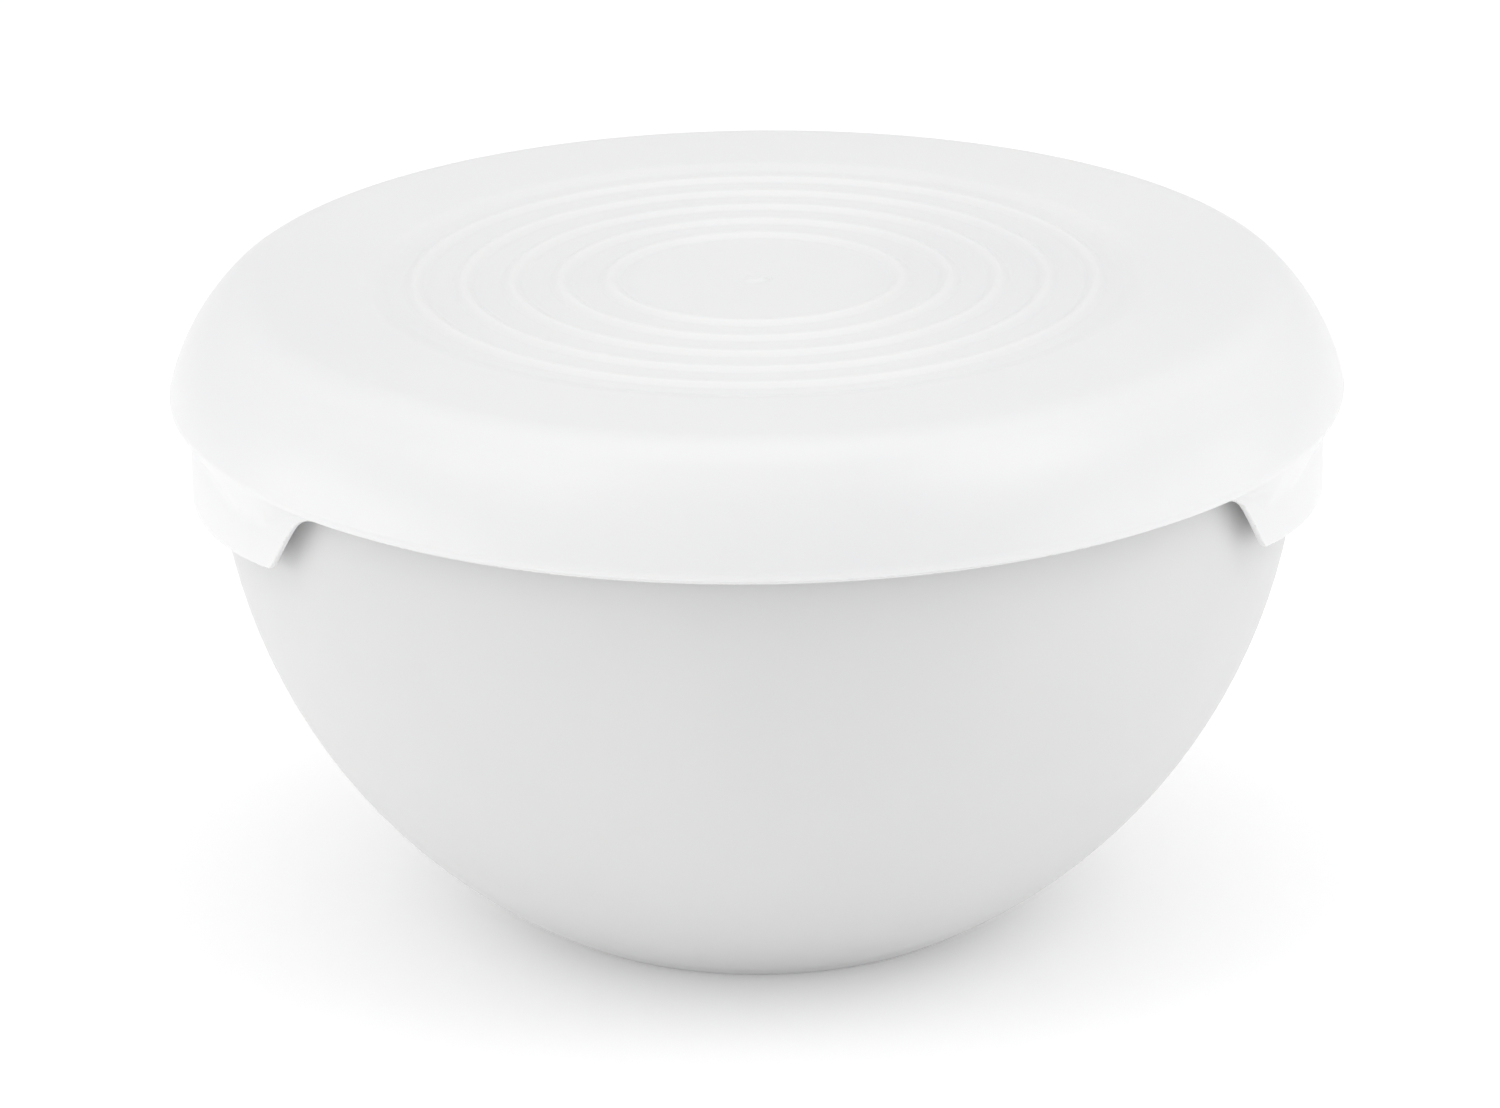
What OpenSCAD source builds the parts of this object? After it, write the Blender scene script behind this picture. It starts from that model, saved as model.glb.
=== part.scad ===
// A round mixing bowl with a flat foot and a turned-down rim, and the lid that fits over the rim.
// Lengths are in millimetres and angles in degrees. The bowl stands on z = 0 with its axis on Z.
// The lid's two grip tabs lie on X, one at each side.

/* [Bowl] */

// Outside diameter of the bowl where its wall stands upright
bowl_diameter = 224; // [190:1:280]

// Diameter of the flat foot, measured to the point where wall and floor would meet unrounded
foot_diameter = 95; // [70:1:120]

// Height of the rim's top above the table
bowl_height = 122; // [100:1:160]

// Height of the upright part of the wall, from the end of the curve to the rim's top
upright_height = 15.5; // [10:0.5:25]

// Thickness of the bowl's wall
bowl_wall = 2; // [1.4:0.1:3]

// Thickness of the bowl's floor
floor_thickness = 2.8; // [2:0.1:4]

// Radius of the outside rounding between foot and wall
foot_rounding = 4; // [1:0.5:8]

// Radius of the inside rounding between floor and wall
floor_rounding = 14; // [6:1:24]

// Width of the ring that the bowl stands on, with the rounding at its outer side
foot_ring_width = 6; // [5:0.5:9]

// Depth of the shallow recess inside that ring
foot_recess = 0.8; // [0.3:0.1:1.2]

// Diameter of the mark that the moulding gate leaves in the recess
foot_gate_diameter = 5; // [3:0.5:8]

/* [Rim of the bowl] */

// How far the rim stands out from the wall
rim_overhang = 3.3; // [2.8:0.1:4.5]

// Thickness of the rim and of its turned-down skirt
rim_thickness = 1.6; // [1.2:0.1:1.8]

// Height of the rim from its top to the skirt's lower edge
rim_height = 9.2; // [6:0.2:10]

// Radius of the rim's outer top edge
rim_outer_rounding = 1.4; // [0.6:0.1:1.5]

// Radius of the rim's inner top edge
rim_inner_rounding = 0.8; // [0.4:0.1:1]

/* [Lid] */

// Height of the lid's flat top above the bowl's rim
lid_rise = 14; // [12:0.5:30]

// How far the lid reaches down over the outside of the rim
lid_cover = 12; // [11.6:0.1:16]

// Thickness of the lid
lid_wall = 1.3; // [1:0.1:1.6]

// How far the lid's widest corner stands out beyond its lip
corner_reach = 4.1; // [3.4:0.1:6]

// Radius of that corner
corner_rounding = 2; // [1.8:0.1:3]

// How far the corner turns under before the ledge begins
tuck_angle = 70; // [65:1:80]

// How far the lip hangs below the ledge
lip_drop = 0.5; // [0.4:0.1:1.5]

// Radius of the lip's two lower edges
lip_rounding = 0.4; // [0.2:0.1:0.4]

// Radius of the shoulder between the flat top and the side
shoulder_rounding = 12; // [6:0.5:16]

// How far the side faces upward where it leaves the widest corner
side_lean_low = 14; // [8:1:20]

// How far the side faces upward where it meets the shoulder
side_lean_high = 43.5; // [36:0.5:50]

/* [Top of the lid] */

// Depth of the round panel that carries the ribs
panel_depth = 1; // [0.4:0.1:1.4]

// Diameter of that panel, measured at the middle of its sloping edge
panel_diameter = 156; // [152:1:180]

// Width of the panel's sloping edge
panel_edge_width = 4; // [2:0.5:8]

// Number of raised ribs
rib_count = 5; // [1:1:5]

// Radius of the innermost rib
first_rib_radius = 30; // [16:1:31]

// Distance from one rib to the next
rib_pitch = 10; // [6:0.5:10]

// Height of a rib above the panel
rib_height = 0.8; // [0.3:0.1:1]

// Width of a rib where it meets the panel
rib_width = 3.6; // [2.4:0.1:5]

// Diameter of the small dimple that the moulding gate leaves in the middle
gate_diameter = 5; // [3:0.5:8]

// Depth of that dimple
gate_depth = 0.3; // [0.1:0.1:0.5]

/* [Grip tabs] */

// Width of a tab where it leaves the lid's lower edge
tab_top_width = 141; // [130:1:160]

// Width of a tab between its lower corners
tab_low_width = 122; // [90:1:130]

// Drop of a tab's lower corners below the lid's lower edge
tab_corner_drop = 14.5; // [12:0.5:20]

// How much further the middle of a tab hangs down than its corners
tab_bow = 3.3; // [1:0.1:5]

// Radius of the hollow corner at the top of a tab
tab_top_rounding = 4; // [1:0.5:6]

// Radius of the lower corner of a tab
tab_low_rounding = 2; // [1:0.5:4]

/* [Fit of the lid] */

// Gap all round between the skirt of the rim and the lid's lip
lip_clearance = 0.3; // [0.1:0.05:0.5]

// Gap all round between the inside of the bowl and the lid's locating ring
locating_clearance = 0.4; // [0.2:0.05:0.8]

// How far the locating ring reaches down into the bowl
locating_reach = 4; // [2:0.5:8]

// Thickness of the locating ring and of the ring that sits on the rim
ring_thickness = 1.3; // [1:0.1:1.6]

/* [Hidden] */

$fn = 240;

// How far a straight piece of an outline may lie inside the arc that it stands for
arc_fineness = 0.03;

// How far a cut runs past the solid that it cuts
past = bowl_wall;

bowl_radius = bowl_diameter / 2;
foot_radius = foot_diameter / 2;
upright_level = bowl_height - upright_height;
bulge = bowl_radius - foot_radius;
wall_radius = (upright_level * upright_level + bulge * bulge) / (2 * bulge);
wall_middle = [bowl_radius - wall_radius, upright_level];

rim_radius = bowl_radius + rim_overhang;
mouth_radius = bowl_radius - bowl_wall;
crown_middle = (mouth_radius + rim_inner_rounding + rim_radius - rim_outer_rounding) / 2;

lip_inside = rim_radius + lip_clearance;
lip_outside = lip_inside + lid_wall;
lid_radius = lip_outside + corner_reach;
lid_top = bowl_height + lid_rise;
lid_edge = bowl_height - lid_cover;
locating_outside = mouth_radius - locating_clearance;

ledge_width = corner_reach - corner_rounding * (1 - cos(tuck_angle));
ledge_fall = ledge_width / tan(tuck_angle);
corner_middle = [
    lid_radius - corner_rounding,
    lid_edge + lip_drop + ledge_fall + corner_rounding * sin(tuck_angle)
];
shoulder_rise = shoulder_rounding * (1 - sin(side_lean_high));
side_rise = lid_top - corner_middle.y - corner_rounding * sin(side_lean_low) - shoulder_rise;
side_radius = side_rise / (sin(side_lean_high) - sin(side_lean_low));
side_middle = corner_middle + (corner_rounding - side_radius) * way(side_lean_low);
shoulder_middle = side_middle + (side_radius - shoulder_rounding) * way(side_lean_high);

panel_radius = panel_diameter / 2;
panel_level = lid_top - panel_depth;
rib_arc_radius = (rib_width * rib_width / 4 + rib_height * rib_height) / (2 * rib_height);
rib_arc_angle = asin(rib_width / 2 / rib_arc_radius);

// The slanting side of a tab, in a plane across X: where it leaves the lid, where it ends, its two directions
tab_top = [tab_top_width / 2, lid_edge];
tab_low = [tab_low_width / 2, lid_edge - tab_corner_drop];
tab_down = (tab_low - tab_top) / norm(tab_low - tab_top);
tab_out = [-tab_down.y, tab_down.x];
tab_slant = atan2(tab_out.y, tab_out.x);

// The arc under a tab, and the middles of the rounds at its upper and lower corners
bow_radius = (tab_low.x * tab_low.x + tab_bow * tab_bow) / (2 * tab_bow);
bow_middle = [0, tab_low.y - tab_bow + bow_radius];
hollow_middle = [
    tab_top.x + tab_top_rounding * (1 + tab_out.y) / tab_out.x,
    lid_edge - tab_top_rounding
];
low_start = tab_top - tab_low_rounding * tab_out;
low_along = (low_start - bow_middle) * tab_down;
low_reach = bow_radius - tab_low_rounding;
low_across = (low_start - bow_middle) * (low_start - bow_middle) - low_reach * low_reach;
low_middle = low_start + tab_down * (sqrt(low_along * low_along - low_across) - low_along);
low_slant = atan2(low_middle.y - bow_middle.y, low_middle.x);

// The unit step in a direction, measured up from the horizontal
function way(angle) = [cos(angle), sin(angle)];

// The points of an arc from one direction to another
function arc(middle, radius, from, to) =
    let (steps = ceil(abs(to - from) / (2 * acos(1 - arc_fineness / radius))))
    [for (i = [0 : steps]) middle + radius * way(from + (to - from) * i / steps)];

function reversed(points) = [for (i = [len(points) - 1 : -1 : 0]) points[i]];

// The bowl's curved wall from its foot up to the upright level, or a face inside it by the inset
function wall_face(inset, level, round) =
    let (
        reach = wall_radius - inset,
        rise = upright_level - level - round,
        middle = [wall_middle.x + sqrt(pow(reach - round, 2) - rise * rise), level + round],
        turn = -asin(rise / (reach - round))
    )
    concat(arc(middle, round, -90, turn), arc(wall_middle, reach, turn, 0));

// The foot from the axis outward: the gate's mark, the recess, and the inside of the standing ring
function foot_face() = [
    [0, foot_recess / 2],
    [foot_gate_diameter / 2, foot_recess / 2],
    [foot_gate_diameter / 2, foot_recess],
    [foot_radius - foot_ring_width, foot_recess],
    [foot_radius - foot_ring_width, 0]
];

// The rim, which turns outward from the wall and then down, from its underside round to its inner edge
function rim_face() =
    let (
        under = bowl_height - rim_thickness,
        skirt_inside = rim_radius - rim_thickness,
        skirt_low = bowl_height - rim_height
    )
    concat(
        [
            [bowl_radius, under],
            [skirt_inside, under],
            [skirt_inside, skirt_low],
            [rim_radius, skirt_low]
        ],
        arc([rim_radius, bowl_height] - rim_outer_rounding * [1, 1], rim_outer_rounding, 0, 90),
        arc([mouth_radius, bowl_height] - rim_inner_rounding * [-1, 1], rim_inner_rounding, 90, 180)
    );

module bowl() {
    color([0.86, 0.86, 0.87])
        rotate_extrude()
            polygon(concat(
                foot_face(),
                wall_face(0, 0, foot_rounding),
                rim_face(),
                reversed(wall_face(bowl_wall, floor_thickness, floor_rounding)),
                [[0, floor_thickness]]
            ));
}

// The level of the ledge's underside at a distance from the axis, or of a face above it by the inset
function ledge_level(distance, inset) =
    let (start = corner_middle + (corner_rounding - inset) * way(-tuck_angle))
    start.y - (start.x - distance) / tan(tuck_angle);

// The lid's outer face from the panel's edge round to the lip, or a face inside it by the inset
function lid_face(inset) =
    let (lip = lip_outside - inset)
    concat(
        [
            [panel_radius - panel_edge_width / 2, panel_level - inset],
            [panel_radius + panel_edge_width / 2, lid_top - inset]
        ],
        arc(shoulder_middle, shoulder_rounding - inset, 90, side_lean_high),
        arc(side_middle, side_radius - inset, side_lean_high, side_lean_low),
        arc(corner_middle, corner_rounding - inset, side_lean_low, 0),
        arc(corner_middle, corner_rounding - inset, 0, -tuck_angle),
        [[lip, ledge_level(lip, inset)]]
    );

// The panel from the axis outward: the gate's dimple, then each rib as an arc that stands up
function panel_face() = concat(
    [
        [0, panel_level - gate_depth],
        [gate_diameter / 2, panel_level - gate_depth],
        [gate_diameter / 2, panel_level]
    ],
    [
        for (i = [0 : rib_count - 1])
            let (middle = [first_rib_radius + i * rib_pitch, panel_level + rib_height - rib_arc_radius])
            each arc(middle, rib_arc_radius, 90 + rib_arc_angle, 90 - rib_arc_angle)
    ]
);

// The lower end of the lip with its two rounded edges
function lip_end() = concat(
    arc([lip_outside, lid_edge] - lip_rounding * [1, -1], lip_rounding, 0, -90),
    arc([lip_inside, lid_edge] + lip_rounding * [1, 1], lip_rounding, -90, -180)
);

// The two rings under the lid: one sits on the rim, the other reaches inside it
module ring_sections() {
    middle = lid_wall / 2;
    intersection() {
        polygon(concat([[0, panel_level - middle]], lid_face(middle), [[0, lid_edge]]));
        union() {
            translate([crown_middle - ring_thickness / 2, bowl_height])
                square([ring_thickness, lid_rise]);
            translate([locating_outside - ring_thickness, bowl_height - locating_reach])
                square([ring_thickness, lid_rise + locating_reach]);
        }
    }
}

module lid_section() {
    polygon(concat(
        panel_face(),
        lid_face(0),
        lip_end(),
        reversed(lid_face(lid_wall)),
        [[0, panel_level - lid_wall]]
    ));
    ring_sections();
}

// Half of a tab as seen along X, from a level inside the ledge down to the middle of its bowed lower edge
function tab_half(top) = concat(
    [[hollow_middle.x, top]],
    arc(hollow_middle, tab_top_rounding, 90, 180 + tab_slant),
    arc(low_middle, tab_low_rounding, tab_slant, low_slant),
    arc(bow_middle, bow_radius, low_slant, -90)
);

// Both tabs: the lip carried on downward, as far as the outline goes
module tabs() {
    top = (ledge_level(lip_outside, 0) + ledge_level(lip_outside, lid_wall)) / 2;
    half = tab_half(top);
    bottom = tab_low.y - tab_bow - past;
    intersection() {
        rotate_extrude()
            translate([lip_inside, bottom])
                square([lid_wall, top - bottom]);
        rotate([90, 0, 90])
            linear_extrude(height = 2 * lid_radius, center = true)
                polygon(concat(half, [for (p = reversed(half)) [-p.x, p.y]]));
    }
}

module lid() {
    color([0.93, 0.93, 0.94]) {
        rotate_extrude()
            lid_section();
        tabs();
    }
}

bowl();
lid();
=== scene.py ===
# Looks of a round plastic mixing bowl with its lid on. Lengths are in metres and angles in degrees.
# The bowl stands on z = 0 with its axis on Z, and the lid's two grip tabs lie on X.
import math

import bpy
from mathutils import Matrix, Vector


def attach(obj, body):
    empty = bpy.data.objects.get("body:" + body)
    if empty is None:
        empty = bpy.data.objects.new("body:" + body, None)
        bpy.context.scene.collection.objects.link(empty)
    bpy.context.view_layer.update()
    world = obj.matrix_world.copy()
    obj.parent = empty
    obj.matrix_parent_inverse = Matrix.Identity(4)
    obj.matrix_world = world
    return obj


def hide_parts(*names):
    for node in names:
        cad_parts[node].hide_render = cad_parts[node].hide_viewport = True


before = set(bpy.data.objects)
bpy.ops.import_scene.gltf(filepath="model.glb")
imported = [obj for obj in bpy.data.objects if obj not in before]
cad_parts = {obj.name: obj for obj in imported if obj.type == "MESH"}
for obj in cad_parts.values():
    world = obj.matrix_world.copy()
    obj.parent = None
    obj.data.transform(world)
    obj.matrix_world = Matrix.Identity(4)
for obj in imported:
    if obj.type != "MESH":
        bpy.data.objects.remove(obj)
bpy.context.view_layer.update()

# The bowl: one injection moulding in satin white plastic. Its round wall runs from a flat foot up to an
# upright mouth, where the rim turns outward and down as a skirt. Under the foot are a shallow recess
# and the small mark of the moulding gate.


def way(angle):
    """The unit step in a direction, measured up from the horizontal."""
    return math.cos(math.radians(angle)), math.sin(math.radians(angle))


wide_step = 2.5
round_step = 15.0


def arc(middle, radius, start, end, side=1, step=wide_step, wear=0.0, steps=None):
    """Rows along an arc. A row is a distance from the axis, a height, the two parts of the direction
    in which the face looks, and how worn it is. Side is -1 where the face looks to the arc's middle.
    The wear is greatest halfway along. A number of steps, where it is given, goes before their size."""
    steps = steps or max(2, math.ceil(abs(end - start) / step))
    rows = []
    for i in range(steps + 1):
        out, up = way(start + (end - start) * i / steps)
        worn = wear * math.sin(math.pi * i / steps)
        rows.append((middle[0] + radius * out, middle[1] + radius * up, side * out, side * up, worn))
    return rows


full_wear_radius = 0.0006


def bent(corners, steps=None):
    """Rows along straight faces with a round at each corner, given as distance, height and radius.
    The faces look to the right of the way that the corners go. A tight outer round is worn the most."""
    points = [Vector(corner[:2]) for corner in corners]
    ways = [(b - a).normalized() for a, b in zip(points, points[1:])]
    looks = [Vector((each.y, -each.x)) for each in ways]
    rows = [(*points[0], *looks[0], 0.0)]
    for i in range(1, len(points) - 1):
        radius = corners[i][2]
        bend = ways[i - 1].angle_signed(ways[i])
        side = 1 if bend < 0 else -1
        start = points[i] - ways[i - 1] * radius * math.tan(abs(bend) / 2)
        middle = start - side * radius * looks[i - 1]
        first = math.degrees(math.atan2(looks[i - 1].y, looks[i - 1].x))
        if side < 0:
            first += 180
        last = first - math.degrees(bend)
        wear = min(1.0, full_wear_radius / radius) if side > 0 else 0.0
        rows += arc(middle, radius, first, last, side, round_step, wear, steps)
    rows.append((*points[-1], *looks[-1], 0.0))
    return rows


def ring(row, angles):
    """One row carried round the axis: a place, the way it looks and its wear, at each angle."""
    distance, height, out, up, worn = row
    return [
        ((distance * x, distance * y, height), (out * x, out * y, up), worn)
        for x, y in (way(angle) for angle in angles)
    ]


same_place = 1e-7


def skin(name, rings):
    """A closed surface through the rings, whose first and last ones lie on the axis."""
    kept = [rings[0]]
    for each in rings[1:]:
        if (Vector(each[0][0]) - Vector(kept[-1][0][0])).length > same_place:
            kept.append(each)
    count = len(kept[0])
    spots = [kept[0][0]]
    for each in kept[1:-1]:
        spots += each
    spots.append(kept[-1][0])
    last = len(spots) - 1
    faces = []
    for j in range(count):
        k = (j + 1) % count
        faces.append((0, 1 + k, 1 + j))
        for i in range(len(kept) - 3):
            low = 1 + i * count
            faces.append((low + j, low + k, low + count + k, low + count + j))
        faces.append((last, last - count + j, last - count + k))
    mesh = bpy.data.meshes.new(name)
    mesh.from_pydata([spot[0] for spot in spots], [], faces)
    mesh.shade_smooth()
    mesh.normals_split_custom_set_from_vertices([spot[1] for spot in spots])
    worn = mesh.attributes.new("worn", "FLOAT", "POINT")
    worn.data.foreach_set("value", [spot[2] for spot in spots])
    made = bpy.data.objects.new(name, mesh)
    bpy.context.scene.collection.objects.link(made)
    return made


worn_colour = (0.68, 0.68, 0.67)
worn_polish = 0.1
sheen_swing = 0.035
grain_depth = 0.00004
wave_depth = 0.0004
wave_strength = 0.25
plastic_ior = 1.49
inner_light_share = 0.25
inner_light_spread = (1.0, 0.95, 0.85)
inner_light_depth = 0.0025


def plastic(name, tint, shade, rough, grain):
    """Satin moulded plastic: a clouded tint, a fine even grain, long soft waves, and worn edges that are
    a little smoother and greyer."""
    material = bpy.data.materials.new(name)
    material.use_nodes = True
    nodes = material.node_tree.nodes
    links = material.node_tree.links
    shader = nodes["Principled BSDF"]
    place = nodes.new("ShaderNodeTexCoord")

    def noise(scale, detail, roughness):
        made = nodes.new("ShaderNodeTexNoise")
        made.inputs["Scale"].default_value = scale
        made.inputs["Detail"].default_value = detail
        made.inputs["Roughness"].default_value = roughness
        links.new(place.outputs["Object"], made.inputs["Vector"])
        return made.outputs["Fac"]

    def span(source, low=0.0, high=1.0, to_low=0.0, to_high=1.0):
        made = nodes.new("ShaderNodeMapRange")
        made.interpolation_type = "SMOOTHSTEP"
        made.inputs["From Min"].default_value = low
        made.inputs["From Max"].default_value = high
        made.inputs["To Min"].default_value = to_low
        made.inputs["To Max"].default_value = to_high
        links.new(source, made.inputs["Value"])
        return made.outputs["Result"]

    def work(operation, first, second):
        made = nodes.new("ShaderNodeMath")
        made.operation = operation
        for socket, value in zip(made.inputs, (first, second)):
            if isinstance(value, float):
                socket.default_value = value
            else:
                links.new(value, socket)
        return made.outputs["Value"]

    def blend(amount, first, second):
        made = nodes.new("ShaderNodeMix")
        made.data_type = "RGBA"
        links.new(amount, made.inputs["Factor"])
        for socket, value in ((made.inputs["A"], first), (made.inputs["B"], second)):
            if isinstance(value, tuple):
                socket.default_value = (*value, 1)
            else:
                links.new(value, socket)
        return made.outputs["Result"]

    def bump(source, strength, depth):
        made = nodes.new("ShaderNodeBump")
        made.inputs["Strength"].default_value = strength
        made.inputs["Distance"].default_value = depth
        links.new(source, made.inputs["Height"])
        return made

    clouds = span(noise(scale=9.0, detail=3.0, roughness=0.55), low=0.35, high=0.65)
    scuffs = span(noise(scale=420.0, detail=4.0, roughness=0.7), low=0.45, high=0.7)
    worn = nodes.new("ShaderNodeAttribute")
    worn.attribute_name = "worn"
    edge = work("MULTIPLY", worn.outputs["Fac"], span(scuffs, to_low=0.35))
    links.new(blend(edge, blend(clouds, tint, shade), worn_colour), shader.inputs["Base Color"])

    patches = noise(scale=55.0, detail=5.0, roughness=0.6)
    sheen = span(patches, low=0.3, high=0.7, to_low=rough - sheen_swing, to_high=rough + sheen_swing)
    links.new(work("SUBTRACT", sheen, work("MULTIPLY", edge, worn_polish)), shader.inputs["Roughness"])

    fine = bump(noise(scale=2600.0, detail=2.0, roughness=0.5), grain, grain_depth)
    soft = bump(noise(scale=26.0, detail=1.0, roughness=0.4), wave_strength, wave_depth)
    links.new(fine.outputs["Normal"], soft.inputs["Normal"])
    links.new(soft.outputs["Normal"], shader.inputs["Normal"])

    shader.inputs["IOR"].default_value = plastic_ior
    shader.inputs["Subsurface Weight"].default_value = inner_light_share
    shader.inputs["Subsurface Radius"].default_value = inner_light_spread
    shader.inputs["Subsurface Scale"].default_value = inner_light_depth
    return material


bowl_radius = 0.112
bowl_height = 0.122
bowl_wall = 0.002
bowl_floor = 0.0028
foot_radius = 0.0475
upright_level = 0.1065
foot_round = 0.004
floor_round = 0.014
recess_radius = 0.0415
recess_depth = 0.0008
recess_round = 0.0003
foot_mark_radius = 0.0025
foot_mark_level = recess_depth / 2
foot_mark_round = 0.00015
rim_reach = 0.0033
rim_wall = 0.0016
rim_outer_round = 0.0014
rim_inner_round = 0.0008
skirt_depth = 0.0092
skirt_round = 0.0005

bulge = bowl_radius - foot_radius
wall_radius = (upright_level ** 2 + bulge ** 2) / (2 * bulge)
wall_middle = (bowl_radius - wall_radius, upright_level)


def foot_turn(reach, level, radius):
    """Where the round between floor and wall has its middle, and at which angle the wall takes over."""
    rise = upright_level - level - radius
    out = math.sqrt((reach - radius) ** 2 - rise ** 2)
    return (wall_middle[0] + out, level + radius), -math.degrees(math.asin(rise / (reach - radius)))


rim_under = bowl_height - rim_wall
skirt_low = bowl_height - skirt_depth
rim_radius = bowl_radius + rim_reach
skirt_inside = rim_radius - rim_wall
mouth_radius = bowl_radius - bowl_wall
outer_middle, outer_turn = foot_turn(wall_radius, 0.0, foot_round)
inner_middle, inner_turn = foot_turn(wall_radius - bowl_wall, bowl_floor, floor_round)
bowl_rows = (
    bent([
        (0.0, foot_mark_level, 0),
        (foot_mark_radius, foot_mark_level, foot_mark_round),
        (foot_mark_radius, recess_depth, foot_mark_round),
        (recess_radius, recess_depth, recess_round),
        (recess_radius, 0.0, recess_round),
        (outer_middle[0], 0.0, 0),
    ])
    + arc(outer_middle, foot_round, -90, outer_turn)
    + arc(wall_middle, wall_radius, outer_turn, 0)
    + bent([
        (bowl_radius, upright_level, 0),
        (bowl_radius, rim_under, skirt_round),
        (skirt_inside, rim_under, skirt_round),
        (skirt_inside, skirt_low, skirt_round),
        (rim_radius, skirt_low, skirt_round),
        (rim_radius, bowl_height, rim_outer_round),
        (mouth_radius, bowl_height, rim_inner_round),
        (mouth_radius, upright_level, 0),
    ])
    + arc(wall_middle, wall_radius - bowl_wall, 0, inner_turn, -1)
    + arc(inner_middle, floor_round, inner_turn, -90, -1)
    + [(0.0, bowl_floor, 0.0, 1.0, 0.0)]
)
bowl_columns = 288
bowl_angles = [360 * i / bowl_columns for i in range(bowl_columns)]
bowl_tint = (0.685, 0.685, 0.685)
bowl_shade = (0.665, 0.665, 0.667)
bowl = skin("bowl_shell", [ring(row, bowl_angles) for row in bowl_rows])
bowl.data.materials.append(plastic("bowl_plastic", bowl_tint, bowl_shade, rough=0.42, grain=0.35))
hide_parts("bowl")
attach(bowl, "bowl")

# The lid: one injection moulding in the same plastic, thinner and whiter. Its flat top carries a recessed
# panel with five raised rings round the gate's dimple. The side bulges out, turns under and ends in
# a lip, and at the left and right the lip runs on downward as a grip tab. Under it are two rings.

lid_wall = 0.0013
lid_rise = 0.014
lid_cover = 0.012
lid_overhang = 0.0041
lip_gap = 0.0003
lip_drop = 0.0005
lip_round = 0.00035
lip_root_round = 0.0003
corner_radius = 0.002
corner_step = 8
shoulder_radius = 0.012
tuck = 70.0
lean_low = 14.0
lean_high = 43.5

lid_top = bowl_height + lid_rise
lid_edge = bowl_height - lid_cover
lip_inside = rim_radius + lip_gap
lip_outside = lip_inside + lid_wall
lid_radius = lip_outside + lid_overhang
ledge_width = lid_radius - lip_outside - corner_radius * (1 - way(tuck)[0])
ledge_slope = 1 / math.tan(math.radians(tuck))
corner_middle = (
    lid_radius - corner_radius,
    lid_edge + lip_drop + ledge_width * ledge_slope + corner_radius * way(tuck)[1],
)
side_rise = (
    lid_top
    - shoulder_radius * (1 - way(lean_high)[1])
    - corner_middle[1]
    - corner_radius * way(lean_low)[1]
)
side_radius = side_rise / (way(lean_high)[1] - way(lean_low)[1])


def inward(middle, distance, angle):
    """The place that lies a distance behind another one, seen along an angle."""
    out, up = way(angle)
    return middle[0] - distance * out, middle[1] - distance * up


side_middle = inward(corner_middle, side_radius - corner_radius, lean_low)
shoulder_middle = inward(side_middle, shoulder_radius - side_radius, lean_high)


def ledge(distance, inset):
    """Distance and height of a place on the ledge, or on a face above it by the inset."""
    out, up = inward(corner_middle, inset - corner_radius, -tuck)
    return distance, up - (out - distance) * ledge_slope


panel_depth = 0.001
panel_low = 0.076
panel_high = 0.080
panel_round = 0.008
rib_count = 5
rib_pitch = 0.010
rib_inner_radius = 0.030
rib_height = 0.001
rib_width = 0.0050
rib_steps = 16
rib_wear = 0.12
dimple_radius = 0.0034
dimple_depth = 0.0001
dimple_slope = 0.0006
dimple_round = 0.001
stub_radius = 0.0008
stub_rise = 0.0003
stub_slope = 0.0016
stub_round = 0.003

panel_level = lid_top - panel_depth
dimple_level = panel_level - dimple_depth
stub_level = panel_level + stub_rise


def rib(distance):
    """Rows over one raised ring, a smooth wave that starts and ends level."""
    rows = []
    for i in range(rib_steps + 1):
        share = i / rib_steps - 0.5
        phase = 2 * math.pi * share
        slope = rib_height * math.pi / rib_width * math.sin(phase)
        length = math.hypot(slope, 1)
        crest = (1 + math.cos(phase)) / 2
        rows.append((
            distance - rib_width * share,
            panel_level + rib_height * crest,
            -slope / length,
            1 / length,
            rib_wear * crest,
        ))
    return rows


root_slope = 0.00025


def under_ring(inner, outer, low, middle, radius, round_radius):
    """The angles at which a ring under the lid leaves the lid's inner face, which is an arc, and the rows
    down one side of the ring and up the other. A small slope fills the corner at each side of its root."""
    up_in = middle[1] + math.sqrt(radius ** 2 - (inner - middle[0]) ** 2) - root_slope
    up_out = middle[1] + math.sqrt(radius ** 2 - (outer - middle[0]) ** 2) - root_slope
    start = math.degrees(math.acos((inner - root_slope - middle[0]) / radius))
    end = math.degrees(math.acos((outer + root_slope - middle[0]) / radius))
    return start, end, bent([
        (inner, up_in, 0),
        (inner, low, round_radius),
        (outer, low, round_radius),
        (outer, up_out, 0),
    ])


locating_wall = 0.0013
locating_gap = 0.0004
locating_reach = 0.004
locating_round = 0.0004
seat_width = 0.0013
seat_round = 0.0002

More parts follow.
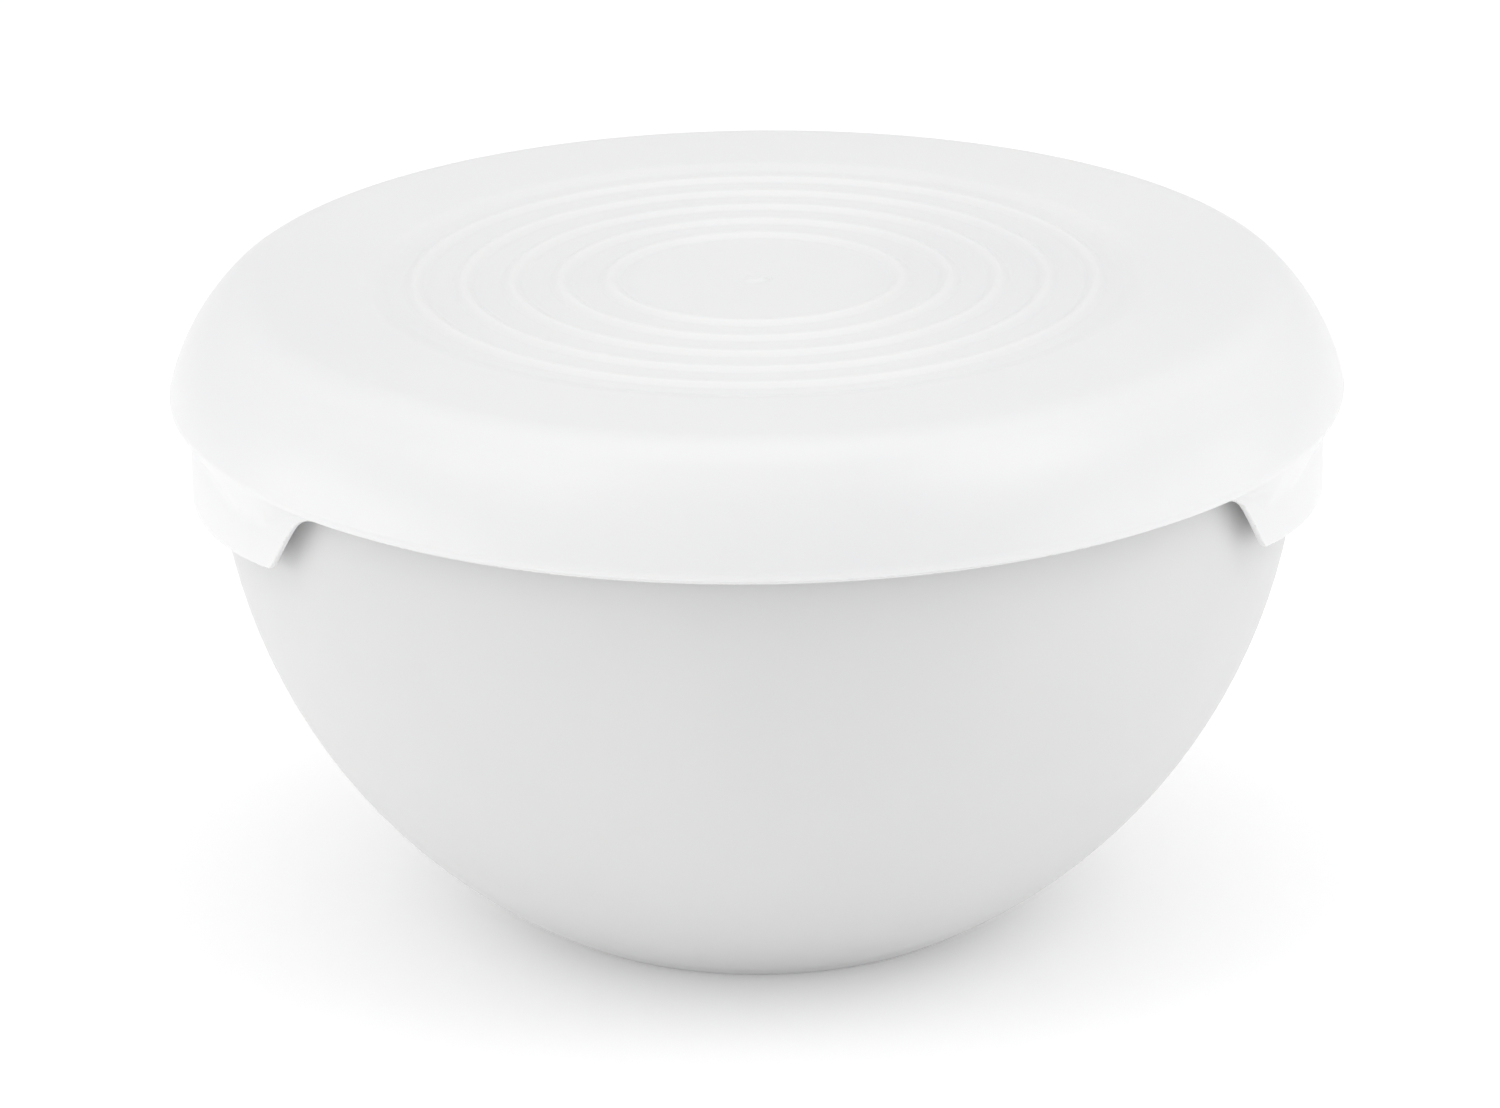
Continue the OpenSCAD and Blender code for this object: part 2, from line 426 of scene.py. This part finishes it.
locating_outside = mouth_radius - locating_gap
crown = (mouth_radius + rim_inner_round + rim_radius - rim_outer_round) / 2
shoulder_inside = shoulder_radius - lid_wall
side_inside = side_radius - lid_wall
locate_start, locate_end, locate_rows = under_ring(
    locating_outside - locating_wall,
    locating_outside,
    bowl_height - locating_reach,
    shoulder_middle,
    shoulder_inside,
    locating_round,
)
seat_start, seat_end, seat_rows = under_ring(
    crown - seat_width / 2,
    crown + seat_width / 2,
    bowl_height,
    side_middle,
    side_inside,
    seat_round,
)
under_rows = (
    bent([
        (0.0, panel_level - lid_wall, 0),
        (panel_low, panel_level - lid_wall, panel_round),
        (panel_high, lid_top - lid_wall, panel_round),
        (shoulder_middle[0], lid_top - lid_wall, 0),
    ])
    + arc(shoulder_middle, shoulder_inside, 90, locate_start, -1)
    + locate_rows
    + arc(shoulder_middle, shoulder_inside, locate_end, lean_high, -1)
    + arc(side_middle, side_inside, lean_high, seat_start, -1)
    + seat_rows
    + arc(side_middle, side_inside, seat_end, lean_low, -1)
    + arc(corner_middle, corner_radius - lid_wall, lean_low, -tuck, -1, corner_step)
    + bent([
        (*inward(corner_middle, lid_wall - corner_radius, -tuck), 0),
        (*ledge(lip_inside, lid_wall), lip_root_round),
        (lip_inside, lid_edge, 0),
    ])[:-1]
)
rib_radii = [rib_inner_radius + rib_pitch * i for i in reversed(range(rib_count))]
outer_rows = (
    arc(side_middle, side_radius, lean_low, lean_high)
    + arc(shoulder_middle, shoulder_radius, lean_high, 90)
    + bent([
        (shoulder_middle[0], lid_top, 0),
        (panel_high, lid_top, panel_round),
        (panel_low, panel_level, panel_round),
        (rib_radii[0] + rib_width / 2, panel_level, 0),
    ])
)
for rib_radius in rib_radii:
    outer_rows += rib(rib_radius)
outer_rows += bent([
    (rib_inner_radius - rib_width / 2, panel_level, 0),
    (dimple_radius, panel_level, dimple_round),
    (dimple_radius - dimple_slope, dimple_level, dimple_round),
    (stub_radius + stub_slope, dimple_level, dimple_round),
    (stub_radius, stub_level, stub_round),
    (0.0, stub_level, 0),
])

tab_top_half = 0.0705
tab_low_half = 0.061
tab_drop = 0.0145
tab_bow = 0.0033
tab_top_round = 0.009
tab_low_round = 0.003
bow_step = 0.3
tab_round_step = 12
tab_side_steps = 8
free_columns = 41

tab_top = Vector((tab_top_half, lid_edge))
tab_low = Vector((tab_low_half, lid_edge - tab_drop))
tab_down = (tab_low - tab_top).normalized()
tab_out = Vector((-tab_down.y, tab_down.x))
slant = math.degrees(math.atan2(tab_out.y, tab_out.x))
bow_radius = (tab_low.x ** 2 + tab_bow ** 2) / (2 * tab_bow)
bow_middle = Vector((0.0, tab_low.y - tab_bow + bow_radius))
hollow_middle = Vector((tab_top.x + tab_top_round * (1 + tab_out.y) / tab_out.x, lid_edge - tab_top_round))
# The round at a tab's low corner touches its slanting side and its bowed lower edge.
inner_line = tab_top - tab_low_round * tab_out
line_reach = (inner_line - bow_middle).dot(tab_down)
line_excess = (inner_line - bow_middle).length_squared - (bow_radius - tab_low_round) ** 2
low_middle = inner_line + tab_down * (math.sqrt(line_reach ** 2 - line_excess) - line_reach)
low_slant = math.degrees(math.atan2(low_middle.y - bow_middle.y, low_middle.x))


def lip_columns():
    """Round the lip, at each angle, the height of its lower end and the way that this end looks:
    how far sideways and how far up."""
    outline = arc(bow_middle, bow_radius, -90, low_slant, step=bow_step)
    outline += arc(low_middle, tab_low_round, low_slant, slant, step=tab_round_step)[1:]
    side_start = low_middle + tab_low_round * tab_out
    side_end = hollow_middle - tab_top_round * tab_out
    for i in range(1, tab_side_steps):
        spot = side_start.lerp(side_end, i / tab_side_steps)
        outline.append((*spot, *tab_out, 0.0))
    outline += arc(hollow_middle, tab_top_round, 180 + slant, 90, -1, tab_round_step)
    quarter = []
    for sideways, height, out, up, _ in outline:
        angle = math.asin(sideways / lip_outside)
        up /= math.cos(angle)
        length = math.hypot(out, up)
        quarter.append((math.degrees(angle), height, out / length, up / length))
    tab_end = quarter[-1][0]
    for i in range(1, free_columns + 1):
        quarter.append((tab_end + (90 - tab_end) * i / free_columns, lid_edge, 0.0, -1.0))
    half = quarter + [(180 - angle, height, -out, up) for angle, height, out, up in reversed(quarter[:-1])]
    return half + [(360 - angle, height, -out, up) for angle, height, out, up in reversed(half[1:-1])]


columns = lip_columns()
lid_angles = [column[0] for column in columns]


def lip_ring(distance, depth, across, down, worn):
    """One ring round the lip's end: its distance from the axis, its depth behind the end, the share of
    its look that goes across the wall, the share that goes out of the end, and its wear."""
    made = []
    for angle, height, out, up in columns:
        turned = angle - math.degrees(depth * out / lip_outside)
        x, y = way(turned)
        look = (
            across * x - down * out * y,
            across * y + down * out * x,
            down * up,
        )
        made.append(((distance * x, distance * y, height - depth * up), look, worn))
    return made


lip_steps = 5
lip_rings = []
for round_middle, round_start, round_end in (
    (lip_inside + lip_round, 180, 90),
    (lip_outside - lip_round, 90, 0),
):
    for i in range(lip_steps + 1):
        across, down = way(round_start + (round_end - round_start) * i / lip_steps)
        place = round_middle + lip_round * across
        depth = lip_round * (1 - down)
        lip_rings.append(lip_ring(place, depth, across, down, math.sin(math.pi * i / lip_steps)))

ledge_round = 0.0001
tab_tuck = 40.0
tab_side_tuck = 25.0
tab_join_round = 0.006
tab_side_start = 0.030
tab_side_blend = 0.020
tab_end_blend = 0.016
join_steps = 6
corner_steps = 16


def eased(value):
    """A share from 0 to 1 that starts and ends level."""
    value = min(1.0, max(0.0, value))
    return value * value * (3 - 2 * value)


def between(low, high, share):
    """The value that lies a share of the way from one value to another."""
    return low + (high - low) * share


def tucked(turned_in, round_radius):
    """Rows from the lip's outer face out along the ledge and round the corner, for one tuck angle."""
    end = inward(corner_middle, -corner_radius, -turned_in)
    level = end[1] - (end[0] - lip_outside) / math.tan(math.radians(turned_in))
    straight = bent([(lip_outside, 0.0, 0), (lip_outside, level, round_radius), (*end, 0)], join_steps)[1:]
    return straight + arc(corner_middle, corner_radius, -turned_in, lean_low, steps=corner_steps)


def corner_rings():
    """Rings from the lip out to the lid's widest corner. Above a tab the corner turns under less, least
    near the tab's two ends, and runs into its face with a hollow round that fades out at the ends."""
    corner_columns = []
    for angle in lid_angles:
        sideways = lip_outside * abs(way(angle)[1])
        joined = eased((hollow_middle.x - sideways) / tab_end_blend)
        near_end = eased((sideways - tab_side_start) / tab_side_blend)
        turned_in = between(tuck, between(tab_tuck, tab_side_tuck, near_end), joined)
        rows = tucked(turned_in, between(ledge_round, tab_join_round, joined))
        corner_columns.append([ring(row, [angle])[0] for row in rows])
    rings = [list(each) for each in zip(*corner_columns)]
    for each in rings:
        spots = [Vector(spot[0]) for spot in each]
        for j, (place, look, worn) in enumerate(each):
            along = spots[(j + 1) % len(spots)] - spots[j - 1]
            around = Vector((-place[1], place[0], 0.0))
            turned = Vector(look) - around * along.dot(look) / along.dot(around)
            each[j] = (place, turned.normalized()[:], worn)
    return rings


lid_tint = (0.795, 0.795, 0.795)
lid_shade = (0.78, 0.78, 0.785)
lid = skin(
    "lid_shell",
    [ring(row, lid_angles) for row in under_rows]
    + lip_rings
    + corner_rings()
    + [ring(row, lid_angles) for row in outer_rows],
)
lid.data.materials.append(plastic("lid_plastic", lid_tint, lid_shade, rough=0.33, grain=0.35))
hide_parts("lid")
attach(lid, "lid")

# The floor: a wide sheet of matt white paper, which is lit from below as well, as on a light table.
# Its fibres show only as a faint bump.

floor_radius = 6.0
floor_corners = 96
paper_tint = 0.95
paper_roughness = 0.9
paper_shine = 0.1
paper_glow = 0.14
fibre_scale = 900.0
fibre_strength = 0.05
fibre_depth = 0.0001

floor_mesh = bpy.data.meshes.new("floor")
floor_mesh.from_pydata(
    [(*(floor_radius * part for part in way(360 * i / floor_corners)), 0.0) for i in range(floor_corners)],
    [],
    [list(range(floor_corners))],
)
floor = bpy.data.objects.new("floor", floor_mesh)
bpy.context.scene.collection.objects.link(floor)
paper = bpy.data.materials.new("paper")
paper.use_nodes = True
paper_nodes = paper.node_tree.nodes
paper_shader = paper_nodes["Principled BSDF"]
paper_fibre = paper_nodes.new("ShaderNodeTexNoise")
paper_fibre.inputs["Scale"].default_value = fibre_scale
paper_bump = paper_nodes.new("ShaderNodeBump")
paper_bump.inputs["Strength"].default_value = fibre_strength
paper_bump.inputs["Distance"].default_value = fibre_depth
paper.node_tree.links.new(paper_fibre.outputs["Fac"], paper_bump.inputs["Height"])
paper.node_tree.links.new(paper_bump.outputs["Normal"], paper_shader.inputs["Normal"])
paper_shader.inputs["Base Color"].default_value = (paper_tint, paper_tint, paper_tint, 1)
paper_shader.inputs["Roughness"].default_value = paper_roughness
paper_shader.inputs["Specular IOR Level"].default_value = paper_shine
paper_shader.inputs["Emission Color"].default_value = (1, 1, 1, 1)
paper_shader.inputs["Emission Strength"].default_value = paper_glow
floor_mesh.materials.append(paper)

# The light: a white tent that glows evenly, a long low soft box at each side, a higher one at each front
# corner, and a large one overhead. White comes out as white, with no film curve over it.

light_aim = Vector((0.0, 0.0, 0.08))
tent_glow = 0.73


def soft_box(name, place, width, height, power):
    """A rectangular light that shines from its place towards the middle of the bowl."""
    light = bpy.data.lights.new(name, "AREA")
    light.shape = "RECTANGLE"
    light.size = width
    light.size_y = height
    light.energy = power
    made = bpy.data.objects.new(name, light)
    made.location = place
    made.rotation_mode = "QUATERNION"
    made.rotation_quaternion = (Vector(place) - light_aim).to_track_quat("Z", "Y")
    bpy.context.scene.collection.objects.link(made)


soft_box("light_left", (-1.55, -0.3, 0.3), width=1.6, height=0.55, power=4.0)
soft_box("light_right", (1.55, -0.3, 0.3), width=1.6, height=0.55, power=3.1)
soft_box("light_left_front", (-0.9, -0.5, 1.2), width=0.9, height=0.6, power=2.0)
soft_box("light_right_front", (0.9, -0.5, 1.2), width=0.9, height=0.6, power=2.6)
soft_box("light_top", (0.0, 0.0, 1.5), width=1.6, height=1.4, power=5.7)

tent = bpy.data.worlds.new("tent")
tent.use_nodes = True
tent.node_tree.nodes["Background"].inputs["Color"].default_value = (1, 1, 1, 1)
tent.node_tree.nodes["Background"].inputs["Strength"].default_value = tent_glow
bpy.context.scene.world = tent
bpy.context.scene.view_settings.view_transform = "Standard"

# The camera: about 1.7 m away and a little above, as in the picture, with a long lens. Its place, tilt and
# focal length were worked out from the outlines of the bowl, the lid and the ribs in the picture.

camera_turn = math.radians(-1.85)
camera_lift = math.radians(19.47)
camera_roll = math.radians(0.63)
camera_distance = 1.7
aim_sideways = -0.00176
aim_height = 0.07503
focal_pixels = 8173.96
frame_pixels = 1500
sensor_width = 36.0
far_end = 50.0

back = Vector((
    math.sin(camera_turn) * math.cos(camera_lift),
    -math.cos(camera_turn) * math.cos(camera_lift),
    math.sin(camera_lift),
))
level_right = Vector((math.cos(camera_turn), math.sin(camera_turn), 0.0))
level_up = back.cross(level_right)
camera_aim = aim_sideways * level_right + Vector((0.0, 0.0, aim_height))
camera_right = level_right * math.cos(camera_roll) - level_up * math.sin(camera_roll)
camera_up = level_right * math.sin(camera_roll) + level_up * math.cos(camera_roll)
camera_place = Matrix.Translation(camera_aim + camera_distance * back)
camera_tilt = Matrix((camera_right, camera_up, back)).transposed().to_4x4()
camera_data = bpy.data.cameras.new("camera")
camera_data.sensor_width = sensor_width
camera_data.lens = focal_pixels / frame_pixels * sensor_width
camera_data.clip_end = far_end
camera = bpy.data.objects.new("camera", camera_data)
camera.matrix_world = camera_place @ camera_tilt
bpy.context.scene.collection.objects.link(camera)
bpy.context.scene.camera = camera

bpy.context.view_layer.update()
